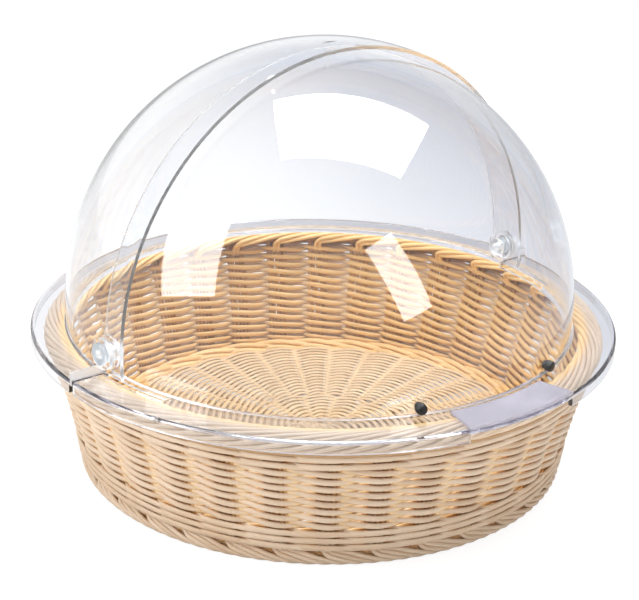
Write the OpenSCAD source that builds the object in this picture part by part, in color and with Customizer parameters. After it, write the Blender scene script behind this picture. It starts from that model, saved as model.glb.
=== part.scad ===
// Round countertop bread display bin: a woven basket under a clear roll-top hood.
// Millimetres, +Z up. The origin is the centre of the basket's foot, on the counter.
// The hinge axis of the hood runs along X, and the opening front faces -Y.

/* [Basket] */
// Height of the basket, from the counter to the top of its rim border
basket_h = 104; // [96:0.5:120]
// Outer radius of the rim border
rim_r = 201; // [198:0.5:206]
// Radial width of the rim border
rim_w = 18; // [16:0.5:24]
// Height of the rim border
rim_h = 12.5; // [11:0.5:20]
// Open space under the rim border, where the stakes show
rim_gap = 1; // [0.5:0.5:6]
// How far the rim border stands out past the wall below it
rim_overhang = 3; // [1:0.5:5]
// Thickness of the woven wall
wall_t = 11; // [9:0.5:14]
// How far the wall curves in between its foot and its top
wall_hollow = 2; // [0:0.5:4]
// Outer radius of the foot border
foot_r = 177.5; // [172:0.5:182]
// Radial width of the foot border
foot_w = 12; // [10:0.5:16]
// Height of the foot border
foot_h = 11.5; // [11:0.5:17]
// How far the wall stands out past the foot border
foot_set_back = 1; // [0:0.5:3]
// Rounding of the foot border's lower outer edge
foot_round = 5; // [2:0.5:6]

/* [Weave] */
// Number of upright stakes round the wall
stake_count = 34; // [24:2:34]
// Width of one stake, a flat bundle of canes
stake_w = 16; // [10:0.5:18]
// Thickness of one stake
stake_t = 3.2; // [2:0.1:4]
// Free space round a stake in the weave
stake_play = 0.25; // [0.1:0.05:0.5]
// Number of heavy rows under the rim border
upper_rows = 2; // [1:1:3]
// Height of one heavy row under the rim border
upper_pitch = 6.2; // [5:0.1:6.5]
// Number of heavy rows over the foot border
lower_rows = 3; // [2:1:4]
// Height of one heavy row over the foot border
lower_pitch = 5.7; // [4.5:0.1:6.5]
// Number of plain rows between the heavy ones
side_rows = 8; // [6:1:10]
// How far each row swells out of the wall
row_relief = 1; // [0.4:0.1:1.5]
// Thickness of the woven bottom
base_t = 6; // [4:0.5:8]
// Free height under the woven bottom
base_lift = 5; // [3:0.5:7]
// Radial width of one ring of the woven bottom
base_pitch = 5.5; // [5:0.5:9]
// Depth of the grooves between the rings of the woven bottom
base_relief = 1.8; // [0.5:0.1:1.9]
// Depth of the grooves between the bundles laid slantwise over the rim
plait_relief = 1.6; // [0.8:0.1:2]

/* [Hood] */
// Outer radius of the front cover's shell
front_r = 178.8; // [174:0.1:180]
// Wall of both shells
shell_t = 2.5; // [2:0.1:3]
// Free space between the two shells
shell_gap = 3.7; // [3.2:0.1:4.5]
// Height of the shells' centre, and of the hinge axis, above the flange
centre_up = 14.3; // [13.5:0.1:17]
// How far the front cover's shell reaches back past the hinge axis
front_reach = 7; // [4:0.5:9]
// How far the rear cover's shell reaches forward past the hinge axis
rear_reach = 18; // [14:0.5:22]
// Thickness of the flange that rests on the rim border
flange_t = 3.2; // [2.5:0.1:4]
// Free space between the flange and the rim border
seat_gap = 0.3; // [0.2:0.05:0.6]
// Depth of the flange's turned-down lip, from the flange's top
lip_drop = 9; // [7:0.5:12]
// Thickness of the lip
lip_t = 3; // [2.5:0.1:4]
// Free space between the lip and the rim border
lip_play = 6; // [3:0.5:8]
// Rounding between flange and lip
lip_round = 2.5; // [1:0.5:2.5]
// Rounding between shell and flange
cove = 1.8; // [1:0.1:2]
// Step from the shell's inner face out to the flange's inner edge, left by the mould
mould_step = 0.2; // [0.1:0.05:0.4]
// Free space between the ends of the two half flanges
split_gap = 1; // [0.6:0.1:2]
// Thickness of the upright that closes each end of the rear flange
stop_t = 2.4; // [2:0.1:4]
// Height of that upright above the flange
stop_h = 6.3; // [4:0.1:6.5]
// Width of the gap in the lip at the split
lip_split = 5; // [3:0.5:8]
// Length of the slot in each end of the front flange, where the rear shell passes
slot_reach = 58; // [57:0.5:66]
// Free space on both sides of the rear shell in that slot
slot_play = 1.2; // [0.6:0.1:1.6]

/* [Hinge] */
// Diameter of the pivot pins
pin_d = 6; // [5:0.1:7]
// Radial running clearance of a pin in the front cover
pin_fit = 0.06; // [0.03:0.01:0.1]
// Radial clearance of a pin in the pieces that it is fixed to
pin_seat = 0.02; // [0.01:0.01:0.04]
// Diameter of the flat pads that stiffen the shells at the pins
pad_d = 22; // [18:0.5:24]
// How far a pad stands out of its shell on its free side
pad_out = 2.5; // [1.5:0.1:3]
// How far a pad stands out of its shell towards the other shell
pad_in = 0.6; // [0.4:0.1:1]
// Diameter of a pin's head
head_d = 16; // [12:0.5:18]
// Thickness of a pin's head
head_t = 2.8; // [2:0.1:4]
// Diameter of the cap on a pin's inner end
cap_d = 13; // [10:0.5:16]
// Thickness of that cap
cap_t = 3; // [2:0.1:4]
// Diameter of the spacer between the shells
spacer_d = 13; // [10:0.5:16]
// Free space on each side of the front cover at the pin
side_play = 0.3; // [0.2:0.05:0.5]

/* [Grip and bumpers] */
// Half of the angle that the lift grip covers
grip_half_angle = 12.5; // [8:0.5:15]
// Free width of the flange between the front shell and the lift grip
grip_gap = 4; // [2:0.5:12]
// Thickness of the lift grip on the flange
grip_t = 1.6; // [1:0.1:3]
// Angle between a bumper and the middle of the front
bumper_angle = 18.5; // [17:0.5:26]
// Diameter of a bumper
bumper_d = 7.5; // [6:0.1:8]
// How far a bumper stands out of the front shell
bumper_out = 5; // [4.8:0.1:6]
// Height of a bumper's middle above the flange
bumper_up = 4.7; // [4.5:0.1:6]
// Diameter of a bumper's stem through the shell
stem_d = 3; // [2:0.1:4]
// Radial clearance of the stem in the shell
stem_fit = 0.05; // [0.02:0.01:0.1]

/* [Hidden] */
$fn = 96;
ARC_STEPS = 6;

// The rim's plait: bundles seen at once round its section, rings of points for each stake, and
// each bundle's profile from its groove over its crest, in shares of the relief
PLAIT_BUNDLES = 4;
PLAIT_STEPS = 3;
PLAIT_DIPS = [1, 0.2, 0, 0.2];
PLAIT_SIDES = PLAIT_BUNDLES * len(PLAIT_DIPS);
OVAL_POWER = 0.77;

// One ring of the woven bottom: share of its width and share of the relief
RING_DIPS = [[0.14, 0.4], [0.34, 0], [0.66, 0], [0.86, 0.4], [1, 1]];

big = 6 * rim_r;

// Levels of the basket
rim_z = basket_h - rim_h;
weave_top = rim_z - rim_gap;
upper_z = weave_top - upper_rows * upper_pitch;
side_z = foot_h + lower_rows * lower_pitch;
side_pitch = (upper_z - side_z) / side_rows;

// Radii of the basket
wall_foot_r = foot_r + foot_set_back;
wall_top_r = rim_r - rim_overhang;
foot_in_r = foot_r - foot_w;
rim_mid_r = rim_r - rim_w / 2;
rim_mid_z = basket_h - rim_h / 2;

// The flange and the shells
flange_z = basket_h + seat_gap;
flange_top = flange_z + flange_t;
hinge_z = flange_top + centre_up;
lip_in_r = rim_r + lip_play;
flange_r = lip_in_r + lip_t;
lip_z = flange_top - lip_drop;
rear_in_r = front_r + shell_gap;
rear_r = rear_in_r + shell_t;
front_in_r = front_r - shell_t;
slot_in_r = level_r(rear_in_r, centre_up + flange_t) - slot_play;
slot_out_r = level_r(rear_r, centre_up) + 2 * slot_play;

// The pads and pins along the hinge axis
front_pad_out = front_r + pad_in;
front_pad_in = front_in_r - pad_in;
rear_pad_in = rear_in_r - pad_in;
rear_pad_out = rear_r + pad_out;
cap_out = front_pad_in - side_play;
cap_in = cap_out - cap_t;

// The stem's inner head, which holds a bumper in its hole
stem_head_d = 1.8 * stem_d;
stem_head_t = 1.5;

// Radius of a sphere of radius r at a height h off its centre
function level_r(r, h) = sqrt(r * r - h * h);

// Share of the wall's height at level z, from 0 over the foot to 1 under the rim
function wall_share(z) = (z - foot_h) / (rim_z - foot_h);

// Outer radius of the wall at level z
function wall_r(z) =
    wall_foot_r + (wall_top_r - wall_foot_r) * wall_share(z)
    - 4 * wall_hollow * wall_share(z) * (1 - wall_share(z));

// Points of one swelling row side: s is 1 on the outer face and -1 on the inner one
function row_side(z0, pitch, rows, s) = [
    for (row = [0:rows - 1], swell = [[0, 1], [0.15, 0.3], [0.5, 0], [0.85, 0.3]])
        let (z = z0 + (row + swell[0]) * pitch)
            [wall_r(z) - wall_t / 2 + s * (wall_t / 2 - swell[1] * row_relief), z]
];

function reversed(list) = [for (i = [len(list) - 1:-1:0]) list[i]];

// Section through a band of woven rows
function band_section(z0, pitch, rows) =
    let (z1 = z0 + rows * pitch)
        concat(
            row_side(z0, pitch, rows, 1),
            [[wall_r(z1) - row_relief, z1], [wall_r(z1) - wall_t + row_relief, z1]],
            reversed(row_side(z0, pitch, rows, -1))
        );

// Section through a stake, with free space all round it
function stake_section(play) =
    let (
        low = foot_h - 4 * play,
        levels = [for (i = [0:ARC_STEPS]) low + (rim_z - low) * i / ARC_STEPS],
        reach = stake_t / 2 + play
    )
        concat(
            [for (z = levels) [wall_r(z) - wall_t / 2 + reach, z]],
            reversed([for (z = levels) [wall_r(z) - wall_t / 2 - reach, z]])
        );

// Points of a quarter circle about [x, y], from angle a
function quarter(x, y, r, a) = [
    for (i = [0:ARC_STEPS]) [x + r * cos(a + 90 * i / ARC_STEPS), y + r * sin(a + 90 * i / ARC_STEPS)]
];

// A squarish oval's share of its half width or half height
function soft(x) = sign(x) * pow(abs(x), OVAL_POWER);

// Point j of the rim's plait at an angle round the basket; it climbs over the rim with the angle
function plait_point(turn, j) =
    let (
        a = 45 + j * 360 / PLAIT_SIDES + turn * stake_count / PLAIT_BUNDLES,
        dip = plait_relief * PLAIT_DIPS[j % len(PLAIT_DIPS)],
        r = rim_mid_r + (rim_w / 2 - dip) * soft(cos(a))
    )
        [r * cos(turn), r * sin(turn), rim_mid_z + (rim_h / 2 - dip) * soft(sin(a))];

// Number of point j in ring i; after the last ring the first one follows, turned by the climb
function plait_index(i, j) =
    i < stake_count * PLAIT_STEPS
        ? i * PLAIT_SIDES + j
        : (j + len(PLAIT_DIPS) * stake_count) % PLAIT_SIDES;

module cane(shade) {
    color([0.93 * shade, 0.85 * shade, 0.70 * shade]) children();
}

module clear_plastic() {
    color([0.86, 0.90, 0.95, 0.4]) children();
}

// ---- Basket ----

// One stake's solid, or the slot for it when play is more than 0
module stake_body(i, play) {
    half_angle = asin((stake_w / 2 + play) / wall_r(side_z));
    rotate([0, 0, i * 360 / stake_count - half_angle])
        rotate_extrude(angle = 2 * half_angle)
            polygon(stake_section(play));
}

module stake_slots() {
    for (i = [1:stake_count])
        stake_body(i, stake_play);
}

module woven_band(z0, pitch, rows) {
    difference() {
        rotate_extrude()
            polygon(band_section(z0, pitch, rows));
        stake_slots();
    }
}

// The bottom is a disc of twined rings, with a groove between each two on both faces
module base_mat() {
    rings = floor((foot_in_r - stake_play) / base_pitch);
    ring_w = (foot_in_r - stake_play) / rings;
    top = base_lift + base_t;
    cane(0.9)
        rotate_extrude()
            polygon(concat(
                [[0, base_lift]],
                [for (i = [0:rings - 1], dip = RING_DIPS)
                    [(i + dip[0]) * ring_w, base_lift + dip[1] * base_relief]],
                reversed([for (i = [0:rings - 1], dip = RING_DIPS)
                    [(i + dip[0]) * ring_w, top - dip[1] * base_relief]]),
                [[0, top]]
            ));
}

module foot_border() {
    inner_round = foot_round / 2;
    cane(0.95)
        rotate_extrude()
            polygon(concat(
                quarter(foot_in_r + inner_round, inner_round, inner_round, 180),
                quarter(foot_r - foot_round, foot_round, foot_round, 270),
                [[foot_r, foot_h], [foot_in_r, foot_h]]
            ));
}

module lower_wale() {
    cane(0.9)
        woven_band(foot_h, lower_pitch, lower_rows);
}

module side_weave() {
    cane(1)
        woven_band(side_z, side_pitch, side_rows);
}

module upper_wale() {
    cane(0.9)
        woven_band(upper_z, upper_pitch, upper_rows);
}

// The canes inside the rim border, with a flat underside that the stakes run up to
module rim_core() {
    round_r = rim_h / 4;
    out_r = rim_r - 2 * plait_relief - round_r;
    in_r = rim_r - rim_w + 2 * plait_relief + round_r;
    top = basket_h - 2 * plait_relief - round_r;
    rotate_extrude()
        polygon(concat(
            quarter(out_r, rim_z + round_r, round_r, 270),
            quarter(out_r, top, round_r, 0),
            quarter(in_r, top, round_r, 90),
            quarter(in_r, rim_z + round_r, round_r, 180)
        ));
}

// The bundles round the core: a line of points follows each groove and crest
module rim_plait() {
    rows = stake_count * PLAIT_STEPS;
    points = [for (i = [0:rows - 1], j = [0:PLAIT_SIDES - 1]) plait_point(i * 360 / rows, j)];
    faces = [for (i = [0:rows - 1], j = [0:PLAIT_SIDES - 1])
        let (
            k = (j + 1) % PLAIT_SIDES,
            corners = [plait_index(i, j), plait_index(i, k), plait_index(i + 1, k), plait_index(i + 1, j)]
        )
            each [[corners[0], corners[1], corners[2]], [corners[0], corners[2], corners[3]]]
    ];
    polyhedron(points, faces);
}

module rim_border() {
    cane(0.97)
        union() {
            rim_core();
            rim_plait();
        }
}

module stake(i) {
    cane(0.8)
        stake_body(i, 0);
}

// ---- Hood ----

// Everything in front of the plane at y
module before(y) {
    translate([-big / 2, y - big, -big / 2])
        cube(big);
}

// Everything behind the plane at y
module behind(y) {
    translate([-big / 2, y, -big / 2])
        cube(big);
}

// Everything above the plane at z
module above(z) {
    translate([-big / 2, -big / 2, z])
        cube(big);
}

// Hollow ball of outer radius r about the hood's centre
module shell(r) {
    translate([0, 0, hinge_z])
        difference() {
            sphere(r);
            sphere(r - shell_t);
        }
}

// Flat ring with its turned-down lip and the rounding up to the shell of radius r
module flange(r) {
    foot = level_r(r, centre_up);
    inner = level_r(r - shell_t, centre_up) + mould_step;
    middle = (foot + inner) / 2;
    rotate_extrude()
        polygon(concat(
            [[inner, flange_z], [lip_in_r, flange_z]],
            [[lip_in_r, lip_z], [flange_r, lip_z]],
            quarter(flange_r - lip_round, flange_top - lip_round, lip_round, 0),
            reversed(quarter(foot + cove, flange_top + cove, cove, 180)),
            [[middle, flange_top + cove], [middle, flange_top], [inner, flange_top]]
        ));
}

// Part of a ring, from r0 to r1 and from z0 to z1, over an angle about the front
module front_sector(half_angle, r0, r1, z0, z1) {
    rotate([0, 0, -90 - half_angle])
        rotate_extrude(angle = 2 * half_angle)
            translate([r0, z0])
                square([r1 - r0, z1 - z0]);
}

// Cylinder along the hinge axis from x0 to x1, on the side s
module along_hinge(s, x0, x1, d) {
    translate([s * x0, 0, hinge_z])
        rotate([0, s * 90, 0])
            cylinder(d = d, h = x1 - x0);
}

// Upright that closes the end of the rear flange on the side s
module flange_stop(s) {
    intersection() {
        translate([s > 0 ? slot_out_r : -big, 0, flange_z])
            cube([big - slot_out_r * (s > 0 ? 0 : 1), stop_t, flange_t + stop_h]);
        cylinder(r = flange_r, h = big);
    }
}

// The lip stops short of the end of the rear flange on the side s
module rear_lip_cut(s) {
    translate([s > 0 ? lip_in_r - 1 : -big, -1, lip_z - 1])
        cube([big - (s > 0 ? 0 : lip_in_r - 1), 1 + lip_split - split_gap, lip_drop - flange_t + 1]);
}

// The ends of the front flange are slotted where the rear shell passes through
module hinge_slots() {
    intersection() {
        translate([0, 0, flange_z - 1])
            difference() {
                cylinder(r = slot_out_r, h = flange_t + 2);
                translate([0, 0, -1])
                    cylinder(r = slot_in_r, h = flange_t + 4);
            }
        behind(-slot_reach);
    }
}

// Puts its children at a bumper's place, with +Z along the bumper's stem
module at_bumper(s) {
    translate([0, 0, hinge_z])
        rotate([0, 0, -90 + s * bumper_angle])
            rotate([0, 90 + asin((centre_up - bumper_up) / front_r), 0])
                children();
}

module rear_cover() {
    clear_plastic()
        difference() {
            union() {
                intersection() {
                    shell(rear_r);
                    behind(-rear_reach);
                    above(flange_top);
                }
                intersection() {
                    flange(rear_r);
                    behind(0);
                }
                for (s = [-1, 1]) {
                    flange_stop(s);
                    along_hinge(s, rear_pad_in, rear_pad_out, pad_d);
                }
            }
            for (s = [-1, 1]) {
                along_hinge(s, rear_pad_in - 1, rear_pad_out + 1, pin_d + 2 * pin_seat);
                rear_lip_cut(s);
            }
        }
}

module front_cover() {
    clear_plastic()
        difference() {
            union() {
                intersection() {
                    shell(front_r);
                    before(front_reach);
                    above(flange_top);
                }
                intersection() {
                    flange(front_r);
                    before(-split_gap);
                }
                for (s = [-1, 1])
                    along_hinge(s, front_pad_in, front_pad_out, pad_d);
            }
            for (s = [-1, 1]) {
                along_hinge(s, front_pad_in - 1, front_pad_out + 1, pin_d + 2 * pin_fit);
                at_bumper(s)
                    translate([0, 0, front_in_r - 1])
                        cylinder(d = stem_d + 2 * stem_fit, h = shell_t + 2);
            }
            hinge_slots();
            front_sector(grip_half_angle, lip_in_r - 1, flange_r + 1, lip_z - 1, flange_z);
        }
}

// The lip is left out below the grip, so that fingers reach under the flange
module lift_grip() {
    inner = level_r(front_r, centre_up) + cove + grip_gap;
    color([0.93, 0.94, 0.98, 0.8])
        front_sector(grip_half_angle, inner, flange_r, flange_top, flange_top + grip_t);
}

// ---- Hinge ----

// A pin's shank runs from its cap to its low domed head outside the rear cover
module pivot_pin(s) {
    dome_h = head_t / 2;
    color([0.80, 0.84, 0.90, 0.7]) {
        along_hinge(s, cap_in, rear_pad_out, pin_d);
        translate([s * rear_pad_out, 0, hinge_z])
            rotate([0, s * 90, 0])
                rotate_extrude()
                    polygon(concat(
                        [[0, 0], [head_d / 2, 0]],
                        quarter(head_d / 2 - dome_h, head_t - dome_h, dome_h, 0),
                        [[0, head_t]]
                    ));
    }
}

module ring_on_pin(s, x0, x1, d) {
    color([0.80, 0.84, 0.90, 0.7])
        difference() {
            along_hinge(s, x0, x1, d);
            along_hinge(s, x0 - 1, x1 + 1, pin_d + 2 * pin_seat);
        }
}

module pivot_spacer(s) {
    ring_on_pin(s, front_pad_out + side_play, rear_pad_in, spacer_d);
}

module pivot_cap(s) {
    ring_on_pin(s, cap_in, cap_out, cap_d);
}

// ---- Bumpers ----

// A domed rubber button with a stem through the shell and a small head inside
module bumper(s) {
    r = bumper_d / 2;
    dome = 0.45 * r;
    color([0.08, 0.08, 0.09])
        at_bumper(s)
            rotate_extrude()
                polygon(concat(
                    [[0, front_in_r - stem_head_t], [stem_head_d / 2, front_in_r - stem_head_t]],
                    [[stem_head_d / 2, front_in_r - stem_fit], [stem_d / 2, front_in_r - stem_fit]],
                    [[stem_d / 2, front_r], [r, front_r]],
                    quarter(r - dome, front_r + bumper_out - dome, dome, 0),
                    [[0, front_r + bumper_out]]
                ));
}

base_mat();
foot_border();
lower_wale();
side_weave();
upper_wale();
rim_border();
rear_cover();
front_cover();
lift_grip();
pivot_pin(-1);  // left_pivot_pin
pivot_pin(1);  // right_pivot_pin
pivot_spacer(-1);  // left_pivot_spacer
pivot_spacer(1);  // right_pivot_spacer
pivot_cap(-1);  // left_pivot_cap
pivot_cap(1);  // right_pivot_cap
bumper(-1);  // left_bumper
bumper(1);  // right_bumper
for (i = [1:stake_count])
    stake(i);
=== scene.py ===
# %% [markdown]
# # A countertop bread display bin
#
# The bin is a round basket woven from glossy plastic cane, with a clear hood on its rim. The hood
# is two thin domes: the front one turns back inside the rear one about two side pivots.
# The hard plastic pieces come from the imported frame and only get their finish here. The basket's
# plain solids are replaced by real weaving, cane by cane, because a painted pattern on a smooth
# wall would show no strands, gaps or shadows when somebody looks at it from close by.
# Everything is in metres, in the frame's own axes: +Z is up and the front is at -Y.

# %% Load the frame
import math

import bpy
import numpy as np
from mathutils import Matrix, Vector


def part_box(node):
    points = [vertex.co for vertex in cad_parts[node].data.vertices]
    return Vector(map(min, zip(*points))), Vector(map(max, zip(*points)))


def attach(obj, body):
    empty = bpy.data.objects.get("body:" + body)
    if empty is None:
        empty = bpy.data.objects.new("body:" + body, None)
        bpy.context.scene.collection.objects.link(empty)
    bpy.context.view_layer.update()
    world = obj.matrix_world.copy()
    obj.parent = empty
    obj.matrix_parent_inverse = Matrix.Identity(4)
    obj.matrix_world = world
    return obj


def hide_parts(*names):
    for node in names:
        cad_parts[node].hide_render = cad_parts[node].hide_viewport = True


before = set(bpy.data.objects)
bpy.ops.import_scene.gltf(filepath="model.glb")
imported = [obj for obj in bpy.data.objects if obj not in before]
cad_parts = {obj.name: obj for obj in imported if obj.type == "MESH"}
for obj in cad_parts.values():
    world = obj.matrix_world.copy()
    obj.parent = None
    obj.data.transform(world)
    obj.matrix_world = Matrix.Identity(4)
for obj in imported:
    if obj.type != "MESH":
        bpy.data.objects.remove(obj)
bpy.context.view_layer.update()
MM = 0.001

# %% [markdown]
# ## The camera
#
# The photo was taken from the front left, a little above, with a long lens. A camera can be placed
# by eye, or worked out from points whose real places are known. Here it was worked out from the
# rim's ellipse and the hood's flange. It is rolled by about one degree, so its axes are built by
# hand rather than with a Track To constraint, which would keep it level.

# %% Camera
CAMERA_AT = Vector((-0.7106, -0.8784, 0.5698))
CAMERA_AIM = Vector((-0.0025, 0.0020, 0.1167))
CAMERA_ROLL = 0.0236
SENSOR_WIDTH = 36.0
LENS = 94.78
FAR_CLIP = 100


def place_camera(at, aim, roll, lens):
    """A camera at one point, aimed at another and turned about its own line of sight."""
    ahead = (aim - at).normalized()
    level = ahead.cross(Vector((0, 0, 1))).normalized()
    upright = level.cross(ahead)
    right = math.cos(roll) * level + math.sin(roll) * upright
    up = math.cos(roll) * upright - math.sin(roll) * level
    data = bpy.data.cameras.new("camera")
    data.lens = lens
    data.sensor_width = SENSOR_WIDTH
    data.clip_end = FAR_CLIP
    camera = bpy.data.objects.new("camera", data)
    camera.matrix_world = Matrix((
        (right.x, up.x, -ahead.x, at.x),
        (right.y, up.y, -ahead.y, at.y),
        (right.z, up.z, -ahead.z, at.z),
        (0, 0, 0, 1)))
    bpy.context.collection.objects.link(camera)
    return camera


bpy.context.scene.camera = place_camera(CAMERA_AT, CAMERA_AIM, CAMERA_ROLL, LENS)
print("camera distance:", round((CAMERA_AIM - CAMERA_AT).length, 3), "m")

# %% [markdown]
# ## Small helpers for shader nodes
#
# A material can be wired up in the Shader Editor or in code. In code, a few helpers keep each
# material readable: one adds a node and fills its sockets, the others stand for the nodes that
# come up again and again.

# %% Helpers for one node
def add(tree, kind, sockets=None, **settings):
    """One new shader node; a socket's value is a plain value or another node's output."""
    made = tree.nodes.new("ShaderNode" + kind)
    for name, value in settings.items():
        setattr(made, name, value)
    for name, value in (sockets or {}).items():
        if isinstance(value, bpy.types.NodeSocket):
            tree.links.new(value, made.inputs[name])
        else:
            made.inputs[name].default_value = value
    return made


def maths(tree, operation, first, second=0.0):
    """The output of a Math node."""
    return add(tree, "Math", {0: first, 1: second}, operation=operation).outputs[0]


def dot(tree, first, second):
    """The dot product of two vectors."""
    return add(tree, "VectorMath", {0: first, 1: second}, operation="DOT_PRODUCT").outputs["Value"]


def split(tree, vector):
    """The X, Y and Z outputs of a vector."""
    return add(tree, "SeparateXYZ", {0: vector}).outputs


def eased(tree, value, low, high):
    """0 up to low, 1 from high on, and a soft step between them."""
    return add(tree, "MapRange", {0: value, 1: low, 2: high}, interpolation_type="SMOOTHSTEP").outputs[0]


def blended(tree, share, first, second):
    """A mix of two plain values: share 0 gives the first, 1 the second."""
    return add(tree, "Mix", {0: share, 2: first, 3: second}).outputs[0]


def mixed(tree, share, first, second):
    """A mix of two colours: share 0 gives the first colour, 1 the second."""
    return add(tree, "Mix", {0: share, 6: first, 7: second}, data_type="RGBA").outputs[2]


# %% Helpers for materials and node groups
def new_group(name, inputs, outputs):
    """An empty node group with its named sockets."""
    group = bpy.data.node_groups.new(name, "ShaderNodeTree")
    for label, kind, value in inputs:
        group.interface.new_socket(label, in_out="INPUT", socket_type=kind).default_value = value
    for label, kind in outputs:
        group.interface.new_socket(label, in_out="OUTPUT", socket_type=kind)
    start = group.nodes.new("NodeGroupInput")
    end = group.nodes.new("NodeGroupOutput")
    return group, start.outputs, end.inputs


def place_group(tree, group, **sockets):
    """A group placed in a material, with its own values."""
    made = tree.nodes.new("ShaderNodeGroup")
    made.node_tree = group
    for name, value in sockets.items():
        made.inputs[name].default_value = value
    return made.outputs


def new_material(name):
    """A material with its tree, its Principled BSDF and its output."""
    material = bpy.data.materials.new(name)
    material.use_nodes = True
    tree = material.node_tree
    return material, tree, tree.nodes["Principled BSDF"], tree.nodes["Material Output"]


# %% [markdown]
# ## The studio
#
# The photo shows the bin on pure white. Strong light in a white room would give that, but it
# washes the object out. Here the white is only for the eye: Light Path tells rays that the
# camera sees, straight, mirrored or through plastic, from rays that light things, and only the
# first kind finds a glowing floor and a bright surround. Rays that have met the basket are left
# out, or the light that passes the clear hood would be counted twice.
#
# A clear dome in an all-white room would vanish. So mirrored rays find the room as it was around
# the hood: white at the left, greyer overhead and dark at the right. Blender's Is Glossy Ray
# is 1 inside clear plastic too, so Is Transmission Ray is taken off it.

# %% Which rays see what
def seen_directly(tree):
    """1 for rays that the camera sees straight, mirrored or through plastic; 0 for light on things."""
    path = add(tree, "LightPath").outputs
    clear = maths(tree, "MAXIMUM", path["Is Glossy Ray"], path["Is Transmission Ray"])
    seen = maths(tree, "MAXIMUM", path["Is Camera Ray"], clear)
    first = maths(tree, "LESS_THAN", path["Diffuse Depth"], 0.5)
    return maths(tree, "MULTIPLY", seen, first)


def seen_mirrored(tree):
    """1 for rays that have come off a smooth surface, 0 for those that have passed through it."""
    path = add(tree, "LightPath").outputs
    return maths(tree, "SUBTRACT", path["Is Glossy Ray"], path["Is Transmission Ray"])


# %% The surround
FILL = 0.235
WHITE = (1, 1, 1, 1)
ZENITH = (0.45, 0.49, 0.56, 1)
ZENITH_FROM_TO = (0.15, 0.50)
DARK_SIDE = (0.10, 0.11, 0.13, 1)
TO_THE_RIGHT = (0.78, -0.62, 0.0)
DARK_FROM_TO = (-0.12, 0.60)


def light_surround():
    """A weak even fill for the object, white for the eye, and toned for what the hood mirrors."""
    world = bpy.data.worlds.new("studio")
    bpy.context.scene.world = world
    world.use_nodes = True
    tree = world.node_tree
    direction = add(tree, "TexCoord").outputs["Generated"]
    upward = eased(tree, split(tree, direction)["Z"], *ZENITH_FROM_TO)
    rightward = eased(tree, dot(tree, direction, TO_THE_RIGHT), *DARK_FROM_TO)
    toned = mixed(tree, upward, WHITE, ZENITH)
    toned = mixed(tree, rightward, toned, DARK_SIDE)
    background = tree.nodes["Background"]
    tree.links.new(mixed(tree, seen_mirrored(tree), WHITE, toned), background.inputs["Color"])
    tree.links.new(blended(tree, seen_directly(tree), FILL, 1.0), background.inputs["Strength"])


light_surround()
print("fill:", FILL)

# %% [markdown]
# ## The floor
#
# The floor is two things at once. To the light it is a pale matt sheet, which throws some of it
# back up at the basket. To the eye it glows almost white and is only a little lit on top of
# that, so the bin's shadow stays on it without the white turning grey. Seen through the hood it
# is greyer towards the right and the back, because the dome lies against shaded paper there.

# %% Floor
FLOOR_HALF = 12.0
FLOOR_PALE = (0.80, 0.80, 0.80, 1)
FLOOR_ROUGHNESS = 0.9
GLOW_SEEN = 0.88
GLOW_MIRRORED = 0.55
LIT_SHARE = (0.20, 0.20, 0.20, 1)
GREY_PAPER = (0.54, 0.58, 0.68, 1)
TO_GREY_CORNER = (0.94, -0.41, 0.0)
GREY_FROM_TO = (0.0, 0.46)


def floor_material():
    """A pale sheet for the light, a white glow with soft shadows for the eye."""
    material, tree, shader, output = new_material("floor_white")
    shader.inputs["Base Color"].default_value = FLOOR_PALE
    shader.inputs["Roughness"].default_value = FLOOR_ROUGHNESS
    shader.inputs["Specular IOR Level"].default_value = 0.0
    level = blended(tree, seen_mirrored(tree), GLOW_SEEN, GLOW_MIRRORED)
    place = add(tree, "TexCoord").outputs["Object"]
    greyer = eased(tree, dot(tree, place, TO_GREY_CORNER), *GREY_FROM_TO)
    through = maths(tree, "MULTIPLY", greyer, add(tree, "LightPath").outputs["Is Transmission Ray"])
    glow = add(tree, "Emission", {"Color": mixed(tree, through, WHITE, GREY_PAPER), "Strength": level})
    lit = add(tree, "BsdfDiffuse", {"Color": LIT_SHARE})
    both = add(tree, "AddShader", {0: glow.outputs[0], 1: lit.outputs[0]})
    shown = add(tree, "MixShader", {0: seen_directly(tree), 1: shader.outputs[0], 2: both.outputs[0]})
    tree.links.new(shown.outputs[0], output.inputs["Surface"])
    return material


def lay_floor(half):
    """A square floor under the bin."""
    mesh = bpy.data.meshes.new("floor")
    corners = [(-half, -half, 0), (half, -half, 0), (half, half, 0), (-half, half, 0)]
    mesh.from_pydata(corners, [], [(0, 1, 2, 3)])
    mesh.materials.append(floor_material())
    floor = bpy.data.objects.new("floor", mesh)
    bpy.context.collection.objects.link(floor)


lay_floor(FLOOR_HALF)
print("floor:", 2 * FLOOR_HALF, "m wide")

# %% [markdown]
# ## How far light is followed
#
# A line of sight through the hood is thrown back and forth inside the plastic near its edges.
# With Blender's usual number of bounces it would be cut off there and leave black rims, so the
# limits are raised. Caustics are off, because the lamps' light comes through the hood by another
# way: the plastic is open to shadow rays.

# %% Bounces
scene = bpy.context.scene
scene.view_settings.view_transform = "Standard"
scene.cycles.max_bounces = 32
scene.cycles.diffuse_bounces = 8
scene.cycles.glossy_bounces = 24
scene.cycles.transmission_bounces = 32
scene.cycles.caustics_reflective = False
scene.cycles.caustics_refractive = False
print("bounces:", scene.cycles.max_bounces)

# %% [markdown]
# ## The lamps
#
# Clear plastic shows little of its own: what the eye reads is the shape of the lamps in it. Each
# softbox is therefore placed where its reflection in the front dome has the place and tilt that
# the photo shows: a broad one overhead, a tall one at the left and a narrow one at the right.
# Area lamps do this plainly. Their power is worked out from the brightness of their face, since
# that is what a reflection shows: power = brightness x pi x area.

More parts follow.
